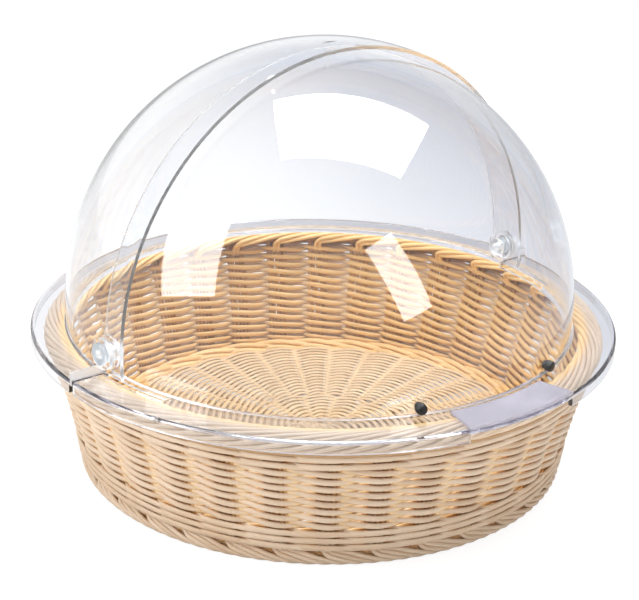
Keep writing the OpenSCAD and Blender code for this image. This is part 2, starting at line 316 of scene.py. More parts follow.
# %% Softboxes
pin_low, pin_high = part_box("left_pivot_pin")
HUB = Vector((0, 0, (pin_low[2] + pin_high[2]) / 2))


def softbox(name, centre, along, across, size, brightness):
    """A rectangular lamp that faces the dome; size is its length along and across."""
    x_axis = Vector(along).normalized()
    outward = x_axis.cross(Vector(across)).normalized()
    if outward.dot(HUB - Vector(centre)) > 0:
        outward.negate()
    y_axis = outward.cross(x_axis)
    data = bpy.data.lights.new(name, "AREA")
    data.shape = "RECTANGLE"
    data.size = size[0]
    data.size_y = size[1]
    data.energy = brightness * math.pi * size[0] * size[1]
    lamp = bpy.data.objects.new(name, data)
    columns = Matrix((x_axis, y_axis, outward)).transposed()
    lamp.matrix_world = Matrix.Translation(centre) @ columns.to_4x4()
    lamp.visible_camera = False
    bpy.context.collection.objects.link(lamp)


softbox("overhead_softbox", centre=(0.257, 0.037, 1.606), along=(0.729, -0.676, -0.107),
        across=(-0.634, -0.741, 0.222), size=(1.32, 1.00), brightness=9.5)
softbox("left_softbox", centre=(-1.284, 0.360, 0.817), along=(-0.164, -0.928, 0.334),
        across=(-0.521, -0.206, -0.829), size=(0.75, 1.09), brightness=6.0)
softbox("right_softbox", centre=(-0.096, -1.350, 0.770), along=(0.268, -0.421, -0.867),
        across=(-0.732, -0.276, -0.623), size=(0.89, 0.36), brightness=5.8)
print("lamps:", [lamp.name for lamp in bpy.data.lights])

# %% [markdown]
# ## The finish of the cane
#
# The cane is extruded plastic made to look like peel: a cream strip with fine streaks along its
# length and a soft gloss. An image of grain would need a texture file; a stretched noise gives
# the same streaks. The noise is read on a ring round the cane (cosine and sine of the way
# round), so it has no seam. Each cane also carries a random tone, kept as a mesh attribute.
#
# Inside the basket the light goes from cane to cane and takes up their colour, so the photo's
# inside is much warmer than its outside. That bounce light is painted: a second attribute, indoors,
# says how far inside the wall a cane lies, and the colour is multiplied by a warm, brighter one there.

# %% Cane grain and painted bounce light, a shared node group
STREAKS_ALONG = 70.0
STREAKS_ROUND = 3.2
OWN_START = 40.0
PATCH_STRETCH = 0.25
PATCH_WEIGHT = 1.2
TONE_WEIGHT = 0.5
PALE_SHARE = 0.62
DULL_WEIGHT = 0.3


def centred(tree, value, weight):
    """A value from 0 to 1 moved to lie round 0, and multiplied by a weight."""
    return maths(tree, "MULTIPLY", maths(tree, "SUBTRACT", value, 0.5), weight)


def build_grain_and_bounce():
    """Streaks along a cane, slow patches, its own tone and painted warm bounce light indoors."""
    group, given, result = new_group(
        "cane_grain_and_bounce",
        [("Pale", "NodeSocketColor", WHITE), ("Deep", "NodeSocketColor", WHITE),
         ("Indoors", "NodeSocketColor", WHITE), ("Contrast", "NodeSocketFloat", 0.5),
         ("Gloss", "NodeSocketFloat", 0.4)],
        [("Color", "NodeSocketColor"), ("Roughness", "NodeSocketFloat"), ("Height", "NodeSocketFloat")])
    tone = add(group, "Attribute", attribute_name="tone").outputs["Fac"]
    indoors = add(group, "Attribute", attribute_name="indoors").outputs["Fac"]
    place = split(group, add(group, "UVMap", uv_map="along").outputs[0])
    angle = maths(group, "MULTIPLY", place["Y"], 2 * math.pi)
    way = maths(group, "ADD", maths(group, "MULTIPLY", tone, OWN_START),
                maths(group, "MULTIPLY", place["X"], STREAKS_ALONG))
    ring = add(group, "CombineXYZ", {
        0: way,
        1: maths(group, "MULTIPLY", maths(group, "COSINE", angle), STREAKS_ROUND),
        2: maths(group, "MULTIPLY", maths(group, "SINE", angle), STREAKS_ROUND)}).outputs[0]
    streak = add(group, "TexNoise", {"Vector": ring, "Scale": 1.0, "Detail": 3.0}).outputs["Fac"]
    slow = add(group, "CombineXYZ", {0: maths(group, "MULTIPLY", way, PATCH_STRETCH), 1: tone}).outputs[0]
    patch = add(group, "TexNoise", {"Vector": slow, "Scale": 1.0, "Detail": 1.0}).outputs["Fac"]
    spread = maths(group, "ADD", centred(group, streak, 1.0), centred(group, patch, PATCH_WEIGHT))
    toned = maths(group, "ADD", maths(group, "MULTIPLY", spread, given["Contrast"]),
                  centred(group, tone, TONE_WEIGHT))
    share = add(group, "Math", {0: toned, 1: PALE_SHARE}, operation="ADD", use_clamp=True).outputs[0]
    clean = mixed(group, share, given["Deep"], given["Pale"])
    # Painted bounce light: where a cane lies indoors its colour is multiplied by the warm one.
    warmed = add(group, "Mix", {0: indoors, 6: clean, 7: given["Indoors"]}, data_type="RGBA",
                 blend_type="MULTIPLY")
    group.links.new(warmed.outputs[2], result["Color"])
    group.links.new(maths(group, "ADD", given["Gloss"], centred(group, streak, DULL_WEIGHT)),
                    result["Roughness"])
    group.links.new(streak, result["Height"])
    return group


CANE_GRAIN_AND_BOUNCE = build_grain_and_bounce()
print("cane grain:", len(CANE_GRAIN_AND_BOUNCE.nodes), "nodes")

# %% Cane colours
# Painted bounce light: canes inside the wall are multiplied by this warm colour, which also brightens
# them.
PAINTED_BOUNCE_INDOORS = (1.31, 1.17, 0.73, 1)
CANE_CONTRAST = 0.8
CANE_ROUGHNESS = 0.42


def cane_material(name, pale, deep):
    """Plastic cane of one colour family."""
    material, tree, shader, _ = new_material(name)
    grain = place_group(tree, CANE_GRAIN_AND_BOUNCE, Pale=(*pale, 1), Deep=(*deep, 1), Indoors=PAINTED_BOUNCE_INDOORS,
                        Contrast=CANE_CONTRAST, Gloss=CANE_ROUGHNESS)
    bump = add(tree, "Bump", {"Strength": 0.35, "Distance": 0.4 * MM, "Height": grain["Height"]})
    tree.links.new(grain["Color"], shader.inputs["Base Color"])
    tree.links.new(grain["Roughness"], shader.inputs["Roughness"])
    tree.links.new(bump.outputs[0], shader.inputs["Normal"])
    return material


CREAM_CANE = cane_material("cream_cane", pale=(0.76, 0.61, 0.46), deep=(0.54, 0.35, 0.20))
RIM_CANE = cane_material("rim_cane", pale=(0.82, 0.68, 0.53), deep=(0.64, 0.45, 0.29))
# Tan cane for the stakes and the fillers: darker partly by its own tone and partly as painted shade for
# the gaps between rows and the insides of the borders.
TAN_AND_SHADE_CANE = cane_material("tan_and_shade_cane", pale=(0.56, 0.35, 0.18), deep=(0.35, 0.19, 0.08))
STRAW_CANE = cane_material("straw_cane", pale=(0.80, 0.61, 0.38), deep=(0.58, 0.38, 0.20))
print("cane finishes:", [m.name for m in bpy.data.materials if m.name.endswith("_cane")])

# %% [markdown]
# ## Sweeping a cane
#
# Every strand is a tube with an oval section that follows a path. Curve objects with a bevel could
# draw them, but their section can't widen where a strand bulges and flatten where it is pinched.
# So one function lays rings of points along each path and another joins them with quads and
# closes the ends. The way along and round the cane becomes a UV map, and the cane's own tone
# and the share of it that is indoors become attributes.

# %% One cane
def cane(path, outward, wide, thick, tone, closed=False, indoors=0.0):
    """A cane for the sweep: its path, which way is outward, its half sizes and its tones."""
    return {"path": path, "outward": outward, "wide": wide, "thick": thick, "tone": tone,
            "closed": closed, "indoors": indoors}


def ring_points(radius, angle, height):
    """Points at a radius, an angle and a height, as rows of x, y and z."""
    height = np.broadcast_to(height, np.shape(angle))
    return np.stack((radius * np.cos(angle), radius * np.sin(angle), height), -1)


def tube_points(run, sides):
    """Rings of points round one cane, each square to its path."""
    path = run["path"]
    turn = 2 * np.pi * np.arange(sides) / sides
    if run["closed"]:
        ahead = np.roll(path, -1, 0) - np.roll(path, 1, 0)
    else:
        ahead = np.gradient(path, axis=0)
    ahead /= np.linalg.norm(ahead, axis=1, keepdims=True)
    across = np.cross(run["outward"], ahead)
    across /= np.linalg.norm(across, axis=1, keepdims=True)
    normal = np.cross(ahead, across)
    wide = np.broadcast_to(run["wide"], len(path))[:, None, None]
    thick = np.broadcast_to(run["thick"], len(path))[:, None, None]
    rings = (path[:, None] + wide * across[:, None] * np.cos(turn)[None, :, None]
             + thick * normal[:, None] * np.sin(turn)[None, :, None])
    return rings.reshape(-1, 3)


def tube_faces(run, sides):
    """The faces of one cane as point numbers, with the UV place of every face corner."""
    path = run["path"]
    count = len(path)
    steps = np.linalg.norm(np.roll(path, -1, 0) - path, axis=1)
    along = np.concatenate(([0], np.cumsum(steps)))
    row = np.arange(count if run["closed"] else count - 1)
    column = np.arange(sides)
    low, high = row[:, None] * sides, ((row + 1) % count)[:, None] * sides
    left, right = column[None, :], (column[None, :] + 1) % sides
    quads = np.stack((low + left, low + right, high + right, high + left), -1)
    here, there = along[row][:, None] + 0 * column, along[row + 1][:, None] + 0 * column
    v_left = np.broadcast_to(column / sides, here.shape)
    v_right = v_left + 1 / sides
    places = np.stack((here, v_left, here, v_right, there, v_right, there, v_left), -1)
    faces, places = [quads.reshape(-1, 4)], [places.reshape(-1, 2)]
    if not run["closed"]:
        k = np.arange(sides // 2 - 1)
        cap = np.stack((k, k + 1, sides - 2 - k, sides - 1 - k), -1)
        faces += [cap[:, ::-1], (count - 1) * sides + cap]
        places += [np.tile((along[end], 0.0), (4 * len(k), 1)) for end in (0, count - 1)]
    return np.concatenate(faces), np.concatenate(places)


# %% The sweep
def sweep(name, runs, sides, material, body, nodes=()):
    """One object of many canes, on a body, in the place of the named solids."""
    points, faces, places, tones, indoors = [], [], [], [], []
    first = 0
    for run in runs:
        rings = tube_points(run, sides)
        run_faces, run_places = tube_faces(run, sides)
        points.append(rings)
        faces.append(first + run_faces)
        places.append(run_places)
        tones.append(np.full(len(rings), run["tone"]))
        indoors.append(np.repeat(np.broadcast_to(run["indoors"], len(run["path"])), sides))
        first += len(rings)
    mesh = bpy.data.meshes.new(name)
    mesh.from_pydata(np.concatenate(points), [], np.concatenate(faces))
    mesh.uv_layers.new(name="along").data.foreach_set("uv", np.concatenate(places).ravel())
    for label, values in (("tone", tones), ("indoors", indoors)):
        mesh.attributes.new(label, "FLOAT", "POINT").data.foreach_set("value", np.concatenate(values))
    mesh.polygons.foreach_set("use_smooth", np.ones(len(mesh.polygons), dtype=bool))
    mesh.materials.append(material)
    piece = bpy.data.objects.new(name, mesh)
    bpy.context.collection.objects.link(piece)
    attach(piece, body)
    if nodes:
        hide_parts(*nodes)
    print(name + ":", len(runs), "canes,", len(mesh.polygons), "faces")


# %% [markdown]
# ## The wall's own curve
#
# All the weaving lies on one wall, a little narrower at the foot than at the rim and drawn in
# slightly between the two. The stakes stand 5 mm behind its outer face, and every strand is
# placed by how far it is from them. The wall's sizes are read from the frame's solids, so the
# weaving follows them if they change. The stakes' angles are read from the frame too.

# %% Wall measures
foot_low, foot_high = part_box("foot_border")
rim_low, rim_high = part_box("rim_border")
base_low, base_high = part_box("base_mat")
LOWEST_ROW_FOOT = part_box("lower_wale")[0][2]
HIGHEST_ROW_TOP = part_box("upper_wale")[1][2]
STAKE_DEPTH = 5 * MM
WALL_DRAWN_IN = 2 * MM
FOOT_SET_BACK = 1 * MM
RIM_OVERHANG = 3 * MM
CANE = 3.2 * MM
STAKES = sorted((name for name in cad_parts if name.startswith("stake_")),
                key=lambda name: int(name.split("_")[1]))
STAKE_COUNT = len(STAKES)
PITCH_ANGLE = 2 * math.pi / STAKE_COUNT


def wall_middle(height):
    """The radius of the line of stakes at a height."""
    share = (height - foot_high[2]) / (rim_low[2] - foot_high[2])
    foot_radius = foot_high[0] + FOOT_SET_BACK
    top_radius = rim_high[0] - RIM_OVERHANG
    outer = foot_radius + (top_radius - foot_radius) * share - 4 * WALL_DRAWN_IN * share * (1 - share)
    return outer - STAKE_DEPTH


def stake_angle(name):
    """The angle of a stake about the basket's axis."""
    low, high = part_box(name)
    return math.atan2(low[1] + high[1], low[0] + high[0])


FIRST_ANGLE = stake_angle(STAKES[-1]) % PITCH_ANGLE
if FIRST_ANGLE > PITCH_ANGLE / 2:
    FIRST_ANGLE -= PITCH_ANGLE
print("stakes:", STAKE_COUNT, "first at", round(math.degrees(FIRST_ANGLE), 2), "degrees")

# %% [markdown]
# ## The stakes
#
# Bundles of five flattened canes stand in the wall at even steps, and the weaving goes in front of
# one and behind the next. Outside, they make the gaps between the rows dark; their cane is also
# a darker tan, which is partly its own tone and partly painted shade for those gaps. Inside, they
# show as an upright hatch. A flat board would do for the first but not for the second, so they are
# modelled cane by cane, each with a slight sway.

# %% Stake bundles
STAKE_CANES = 5
STAKE_THICK = 2.4 * MM
STAKE_POINTS = 26
STAKE_OVER_FLOOR = 7 * MM
STAKE_INTO_RIM = 5 * MM
SWAY = 0.25 * MM
SWAY_WAVES = 160
SWAY_STARTS = 6.28
rng = np.random.default_rng(11)


def stake_bundle(name):
    """The canes of one stake, side by side, from the foot border up into the rim."""
    angle = stake_angle(name)
    heights = np.linspace(foot_low[2] + STAKE_OVER_FLOOR, rim_low[2] + STAKE_INTO_RIM, STAKE_POINTS)
    sideways = np.array([-math.sin(angle), math.cos(angle), 0])
    runs = []
    for place in range(STAKE_CANES):
        offset = (place - (STAKE_CANES - 1) / 2) * CANE
        sway = SWAY * np.sin(heights * SWAY_WAVES + rng.uniform(0, SWAY_STARTS))
        path = ring_points(wall_middle(heights), np.full_like(heights, angle), heights)
        path = path + (offset + sway)[:, None] * sideways
        runs.append(cane(path, (math.cos(angle), math.sin(angle), 0.0), CANE / 2, STAKE_THICK / 2,
                         tone=rng.uniform(0.1, 0.9), indoors=0.5))
    sweep(name + "_canes", runs, 6, TAN_AND_SHADE_CANE, "basket", [name])


for stake in STAKES:
    stake_bundle(stake)

# %% [markdown]
# ## The twined rows
#
# The side is pairing: two strands take turns in front of each stake and cross between them. The
# heavier rows at the foot and under the rim are a three-rod wale: each strand passes in front of
# two stakes and behind one. A strand could be a texture with bumps, but the gaps between the
# rows let light and dark through, so each strand is a real tube. Its distance from the
# stakes, its rise and its thickness are all functions of how far it is through its repeat.
# With N strands round P stakes there are gcd(N, P) closed loops.
#
# In the photo the strands don't cross halfway between two stakes but soon after one, and at the
# crossing they lie one above the other and fill the row's height. The lead says how early
# that is. Half sizes are given where a strand is pinched, with what it gains where it bulges.

# %% Profiles of the two weaves
CROSSING_LEAD = 0.17
PAIR_OFFSET = 0.4 * MM
PAIR_SWING = 2.8 * MM
PAIR_RISE = 1.55 * MM
PAIR_PINCHED = (1.85 * MM, 1.1 * MM)
PAIR_GAIN = (0.28 * MM, 0.4 * MM)
WALE_FRONT = 4.4 * MM
WALE_FRONT_END = 2.6 * MM
WALE_BEHIND = -2.9 * MM
WALE_RISE = 1.35 * MM
WALE_STEEPNESS = 0.16
WALE_PINCHED = (1.4 * MM, 1.05 * MM)
WALE_GAIN = (0.55 * MM, 0.15 * MM)


def half_sizes(pinched, gain, bulge):
    """The half width and half thickness of a strand where it bulges by a share."""
    return [least + more * bulge for least, more in zip(pinched, gain)]


def pairing_profile(phase):
    """Offset outward, rise and half sizes of a strand in front of every second stake."""
    swing = np.cos(np.pi * (phase + CROSSING_LEAD))
    side = PAIR_OFFSET + PAIR_SWING * swing
    rise = -PAIR_RISE * np.sin(np.pi * (phase + CROSSING_LEAD))
    return side, rise, *half_sizes(PAIR_PINCHED, PAIR_GAIN, np.abs(swing))


def wale_profile(phase):
    """The same for a strand in front of two stakes and behind the third."""
    through = (phase + CROSSING_LEAD) % 3 - 0.5
    outside = 0.5 * (np.tanh(through / WALE_STEEPNESS) - np.tanh((through - 2) / WALE_STEEPNESS))
    front = np.interp(through, [0, 2], [WALE_FRONT, WALE_FRONT_END])
    side = WALE_BEHIND + (front - WALE_BEHIND) * outside
    rise = np.interp(through, [-0.5, 0, 2, 2.5], [0, WALE_RISE, -WALE_RISE, 0])
    return side, rise, *half_sizes(WALE_PINCHED, WALE_GAIN, np.abs(2 * outside - 1))


# %% Rows and bands
ROW_POINTS = 12
ROW_WANDER = 0.16 * MM
WANDER_WAVES = (3, 5, 8, 13)
WALL_SIDES = 1 * MM


def wander(angle, size):
    """A small closed irregularity round the basket."""
    total = np.zeros_like(angle)
    for wave in WANDER_WAVES:
        total += rng.normal(0, size / 2) * np.sin(wave * angle + rng.uniform(0, 2 * math.pi))
    return total


def indoor_share(side):
    """1 where a strand lies on the inside of the wall, 0 where it lies on the outside."""
    return np.clip(0.5 - side / (2 * WALL_SIDES), 0, 1)


def twined_row(height, strands, profile):
    """The loops of one row of twining on the wall."""
    loops = math.gcd(strands, STAKE_COUNT)
    turns = strands // loops
    runs = []
    for loop in range(loops):
        way = np.arange(turns * STAKE_COUNT * ROW_POINTS) / ROW_POINTS
        side, rise, wide, thick = profile(way - loop)
        angle = FIRST_ANGLE + way * PITCH_ANGLE
        heights = height + rise + wander(angle / turns, ROW_WANDER)
        path = ring_points(wall_middle(heights) + side, angle, heights)
        runs.append(cane(path, ring_points(1.0, angle, 0.0), wide, thick,
                         tone=rng.uniform(0.35, 0.85), closed=True, indoors=indoor_share(side)))
    return runs


def twined_band(name, node, rows, strands, profile):
    """A band of rows that fills the height of a node's solid."""
    low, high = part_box(node)
    pitch = (high[2] - low[2]) / rows
    runs = []
    for row in range(rows):
        runs += twined_row(low[2] + (row + 0.5) * pitch, strands, profile)
    sweep(name, runs, 10, CREAM_CANE, "basket", [node])


twined_band("foot_wale_strands", "lower_wale", rows=3, strands=3, profile=wale_profile)
twined_band("side_strands", "side_weave", rows=8, strands=2, profile=pairing_profile)
twined_band("rim_wale_strands", "upper_wale", rows=2, strands=3, profile=wale_profile)

# %% [markdown]
# ## The plaited borders
#
# At the rim the stakes' canes come up inside, bend over together and run on slantwise over the
# rim, two of each stake, until they are tucked in below it. The foot is closed the same way,
# downward, with three of each. Drawn flat, with the way round the basket as one axis and the
# way over the border's section as the other, each cane is a straight stretch, a round bend and
# a slanting straight stretch. Wrapping that flat drawing round an oval section gives the
# plait, and the canes of one group nest in each other because their bends share one centre.

# %% A border's section
SQUARENESS = 2.6
TRACK_POINTS = 90
SOFTENING = 1.2 * MM
TINY = 1e-9


def oval_track(centre, half, start, stop, lead_in, lead_out):
    """Points over a border's section: a lead-in, a stretch of a squarish oval and a lead-out."""
    angles = np.radians(np.linspace(start, stop, TRACK_POINTS))
    cosine, sine = np.cos(angles), np.sin(angles)
    power = 2 / SQUARENESS
    rho = centre[0] + half[0] * np.sign(cosine) * np.abs(cosine) ** power
    z = centre[1] + half[1] * np.sign(sine) * np.abs(sine) ** power
    return np.vstack((lead_in, np.column_stack((rho, z)), lead_out))


def reach_of(track):
    """How far along a section each of its points lies."""
    steps = np.hypot(*np.diff(track, axis=0).T)
    return np.concatenate(([0], np.cumsum(steps)))


def follow(track, way):
    """Place and direction on a section at a distance along it, with its corners softened."""
    reach = reach_of(track)

    def at(distance):
        """The section's own point at a distance."""
        return np.stack([np.interp(distance, reach, track[:, k]) for k in (0, 1)], -1)

    spot = (at(way - SOFTENING) + 2 * at(way) + at(way + SOFTENING)) / 4
    ahead = at(way + SOFTENING) - at(way - SOFTENING)
    length = np.linalg.norm(ahead, axis=1, keepdims=True)
    return spot, ahead / np.maximum(length, TINY)


# %% The plait
RISE_POINTS = 8
BEND_POINTS = 10
SLANT_STEP = 1.8 * MM
INDOOR_EDGE = 4 * MM
RING_POINTS = 96


def flat_cane(place, canes, slope, bend_at, bend_radius, total):
    """One cane of a group drawn flat: straight up, round the bend and away on the slant."""
    slant = math.atan(slope)
    start = (place - (canes - 1) / 2) * CANE
    last = (canes - 1) / 2 * CANE
    radius = bend_radius + (canes - 1 - place) * CANE
    arc = np.linspace(math.pi, math.pi / 2 + slant, BEND_POINTS)
    bend = np.column_stack((last + bend_radius + radius * np.cos(arc), bend_at + radius * np.sin(arc)))
    up = np.linspace(0, bend_at, RISE_POINTS, endpoint=False)
    rising = np.column_stack((np.full(RISE_POINTS, start), up))
    away = (total - bend[-1, 1]) / math.sin(slant)
    steps = np.arange(SLANT_STEP, away, SLANT_STEP)[:, None]
    running = bend[-1] + steps * np.array([[math.cos(slant), math.sin(slant)]])
    return np.vstack((rising, bend, running))


def plait(track, canes, slope, bend_at, bend_radius, turn_sign, mean_radius, flip, indoors=0.0):
    """A border's canes: in every group they rise, bend together and run on aslant."""
    total = reach_of(track)[-1]
    runs = []
    for stake in range(STAKE_COUNT):
        for place in range(canes):
            flat = flat_cane(place, canes, slope, bend_at, bend_radius, total)
            spot, ahead = follow(track, flat[:, 1])
            angle = FIRST_ANGLE + stake * PITCH_ANGLE + turn_sign * flat[:, 0] / mean_radius
            path = ring_points(spot[:, 0], angle, spot[:, 1])
            outward = flip * ring_points(-ahead[:, 1], angle, ahead[:, 0])
            inner = np.clip((mean_radius - spot[:, 0]) / INDOOR_EDGE, 0, 1)
            runs.append(cane(path, outward, CANE / 2, CANE / 2, tone=rng.uniform(0.3, 0.95),
                             indoors=indoors * inner))
    return runs


def core_rings(centre, half, places, size, indoors=0.0):
    """Closed rings of cane that fill a border; a place is a share of its half width and height."""
    runs = []
    angle = 2 * np.pi * np.arange(RING_POINTS) / RING_POINTS
    for across, up in places:
        rho, z = centre[0] + across * half[0], centre[1] + up * half[1]
        runs.append(cane(ring_points(rho, angle, z), ring_points(1.0, angle, 0.0), size, size,
                         tone=rng.uniform(0.2, 0.8), closed=True, indoors=indoors))
    return runs


# %% The rim
RIM_WIDTH = 18 * MM
RIM_CORE = [(-0.45, 0.1), (0.0, 0.15), (0.45, 0.1), (0.0, -0.5), (0.4, -0.5)]
rim_half = (RIM_WIDTH / 2 - CANE / 2, (rim_high[2] - rim_low[2]) / 2 - CANE / 2)
rim_centre = (rim_high[0] - rim_half[0] - CANE / 2, (rim_low[2] + rim_high[2]) / 2)
rim_start = HIGHEST_ROW_TOP - 6 * MM
rim_track = oval_track(
    rim_centre, rim_half, start=232, stop=-62,
    lead_in=[(wall_middle(rim_start) + 0.5 * MM, rim_start)],
    lead_out=[(rim_centre[0] + 0.1 * rim_half[0], rim_centre[1] - 0.62 * rim_half[1])])
rim_runs = plait(rim_track, canes=2, slope=0.187, bend_at=9 * MM, bend_radius=3.2 * MM, turn_sign=-1,
                 mean_radius=rim_centre[0], flip=1, indoors=1.0)
sweep("rim_plait", rim_runs, 8, RIM_CANE, "basket", ["rim_border"])

# %% [markdown]
# ## What fills the borders
#
# A border laid round nothing would show daylight between its canes. A real one is full of the
# canes' own ends. Here plain rings of darker cane take their place: five in the rim, two more
# in the slot below it and six in the foot. Their darker tan is partly painted shade, as it falls
# deep inside a border.

# %% Rim filling
UNDER_RIM = [(0, -0.6), (0.4, 1.6)]
under_rim_centre = (wall_middle(HIGHEST_ROW_TOP) + 3.4 * MM, HIGHEST_ROW_TOP + 1.8 * MM)
rim_rings = core_rings(rim_centre, rim_half, RIM_CORE, 2.4 * MM)
rim_rings += core_rings(under_rim_centre, (MM, MM), UNDER_RIM, 1.9 * MM)
sweep("rim_core", rim_rings, 8, TAN_AND_SHADE_CANE, "basket")

# %% The foot
FOOT_WIDTH = 12 * MM
FOOT_CORE = [(across, up) for across in (-0.32, 0.32) for up in (-0.5, 0.05, 0.6)]
foot_mid = (foot_low[2] + foot_high[2]) / 2
foot_half = (FOOT_WIDTH / 2 - CANE / 2, foot_mid - foot_low[2] - CANE / 2)
foot_centre = (foot_high[0] - foot_half[0] - CANE / 2, foot_mid)
foot_start = LOWEST_ROW_FOOT + 5.5 * MM
foot_track = oval_track(
    foot_centre, foot_half, start=62, stop=-190,
    lead_in=[(wall_middle(foot_start) + 1 * MM, foot_start)],
    lead_out=[(foot_centre[0], foot_centre[1] + 0.3 * foot_half[1])])
foot_runs = plait(foot_track, canes=3, slope=0.309, bend_at=2.5 * MM, bend_radius=2.5 * MM, turn_sign=1,
                  mean_radius=foot_centre[0] + 4 * MM, flip=-1)
foot_rings = core_rings(foot_centre, foot_half, FOOT_CORE, 1.4 * MM)
sweep("foot_plait", foot_runs, 8, CREAM_CANE, "basket", ["foot_border"])
sweep("foot_core", foot_rings, 8, TAN_AND_SHADE_CANE, "basket")

# %% [markdown]
# ## The inner corner
#
# Where the wall meets the bottom, the rows turn over from upright to flat. Two rows of pairing
# laid at 45 degrees close that corner, with two plain rings behind them. They use the same
# profile as the wall: its offset and its rise are turned together by 45 degrees.

# %% Corner rows
CORNER_RINGS = [(-0.9, 0.4), (-1.4, 0.3)]
CORNER_FLATTER = 0.8
CORNER_SWING = 0.6


def corner_row(back, up):
    """A pairing row that lies aslant in the corner, so far in from the foot and above it."""
    runs = []
    aslant = math.sqrt(0.5)
    for loop in range(2):
        way = np.arange(STAKE_COUNT * ROW_POINTS) / ROW_POINTS
        side, rise, wide, thick = pairing_profile(way - loop)
        angle = FIRST_ANGLE + way * PITCH_ANGLE
        radius = foot_centre[0] - back + aslant * (rise + CORNER_SWING * side)
        height = foot_centre[1] + up + aslant * (rise - CORNER_SWING * side)
        runs.append(cane(ring_points(radius, angle, height), ring_points(aslant, angle, -aslant),
                         wide, CORNER_FLATTER * thick, tone=rng.uniform(0.35, 0.85), closed=True,
                         indoors=1.0))
    return runs


corner_runs = corner_row(back=7.8 * MM, up=2.4 * MM) + corner_row(back=4.4 * MM, up=5.8 * MM)
corner_rings = core_rings(foot_centre, foot_half, CORNER_RINGS, 1.7 * MM, indoors=1.0)
sweep("corner_twining", corner_runs, 8, CREAM_CANE, "basket")
sweep("corner_rings", corner_rings, 8, TAN_AND_SHADE_CANE, "basket")

# %% [markdown]
# ## The woven bottom
#
# The photo hides the bottom. Round baskets start from a cross of sticks that are fanned out and
# twined round and round, with more spokes put in once the gaps get wide, so that is built here:
# four sticks over four, three rows round the arms of the cross, then round sixteen spokes to
# the first third and round thirty-two to the edge.

# %% Spokes of the base
base_mid = (base_low[2] + base_high[2]) / 2
base_radius = base_high[0]
CROSS_RADIUS = 18 * MM
CROSS_LEVEL = 1.25 * MM
FANNED_FROM = 0.8 * CROSS_RADIUS
MORE_SPOKES_RADIUS = 68 * MM
ARMS = 4
SPOKES = 16
SPOKE_POINTS = 60
SPOKE_THICK = 1.2 * MM
STICK_GAP = 0.2 * MM
EDGE_PLAY = 1 * MM
UPWARD = (0.0, 0.0, 1.0)


def fanned_spokes():
    """The crossing sticks, fanned out to sixteen even spokes."""
    runs = []
    sticks = SPOKES // ARMS
    reach = np.linspace(0, base_radius - EDGE_PLAY, SPOKE_POINTS)
    for spoke in range(SPOKES):
        quarter, place = divmod(spoke, sticks)
        aside = place - (sticks - 1) / 2
        heading = quarter * 2 * math.pi / ARMS
        own = heading + aside * 2 * math.pi / SPOKES
        offset = aside * (CANE + STICK_GAP)
        share = np.clip((reach - FANNED_FROM) / CROSS_RADIUS, 0, 1)
        share = share * share * (3 - 2 * share)
        straight_x = reach * math.cos(heading) - offset * math.sin(heading)
        straight_y = reach * math.sin(heading) + offset * math.cos(heading)
        x = (1 - share) * straight_x + share * reach * math.cos(own)
        y = (1 - share) * straight_y + share * reach * math.sin(own)
        level = CROSS_LEVEL * (1 if quarter % 2 else -1)
        z = base_mid + level * (1 - share)
        runs.append(cane(np.stack((x, y, z), -1), UPWARD, CANE / 2, SPOKE_THICK,
                         tone=rng.uniform(0.2, 0.8)))
    return runs


def added_spokes():
    """Sixteen more, from the first third to the edge."""
    runs = []
    reach = np.linspace(MORE_SPOKES_RADIUS - 6 * MM, base_radius - EDGE_PLAY, SPOKE_POINTS // 2)
    for spoke in range(SPOKES):
        angle = np.full_like(reach, spoke * 2 * math.pi / SPOKES)
        runs.append(cane(ring_points(reach, angle, base_mid), UPWARD, CANE / 2, SPOKE_THICK,
                         tone=rng.uniform(0.2, 0.8)))
    return runs


# %% Rings of the base
ARM_RINGS = 3
ARM_POINTS = 28
SPOKE_RING_POINTS = 7
FIRST_SPOKE_RING = CROSS_RADIUS + 8 * MM
BASE_PITCH = 5.5 * MM
BASE_FLATTER = 0.58
LAST_RING_PLAY = 2 * MM


def spokes_at(ring, radius):
    """How many spokes a ring goes round, and its points from one to the next."""
    if ring < ARM_RINGS:
        return ARMS, ARM_POINTS
    if radius < MORE_SPOKES_RADIUS:
        return SPOKES, SPOKE_RING_POINTS
    return 2 * SPOKES, SPOKE_RING_POINTS


def base_rings():
    """Pairing ring after ring: round the cross's four arms first, then round each spoke."""
    runs = []
    first = FIRST_SPOKE_RING - ARM_RINGS * BASE_PITCH
    count = int((base_radius - LAST_RING_PLAY - first) / BASE_PITCH)
    for ring in range(count + 1):
        radius = first + ring * BASE_PITCH
        spokes, steps = spokes_at(ring, radius)
        shift = math.pi / SPOKES if spokes == SPOKES else 0.0
        for loop in range(2):
            way = np.arange(spokes * steps) / steps
            side, rise, wide, thick = pairing_profile(way - loop)
            angle = shift + way * 2 * math.pi / spokes
            path = ring_points(radius + rise, angle, base_mid + side * BASE_FLATTER)
            runs.append(cane(path, UPWARD, wide, thick * BASE_FLATTER, tone=rng.uniform(0.2, 0.9),
                             closed=True))
    return runs


sweep("base_twining", base_rings(), 6, STRAW_CANE, "basket", ["base_mat"])
sweep("base_spokes", fanned_spokes() + added_spokes(), 6, STRAW_CANE, "basket")

# %% [markdown]
# ## The wear on the plastic
#
# Moulded plastic that is wiped every day is never quite even: it has faint smudges, which make
# it a little duller here and there, and its surface runs in slow waves, which bend the lamps'
# outlines. Both are noises in one node group, which the hood, the pivots, the grip and the
# rubber all place with their own values.

# %% Moulded plastic wear, a shared node group
SMUDGE_SCALE = 14.0
SMUDGE_FROM_TO = (0.52, 0.72)


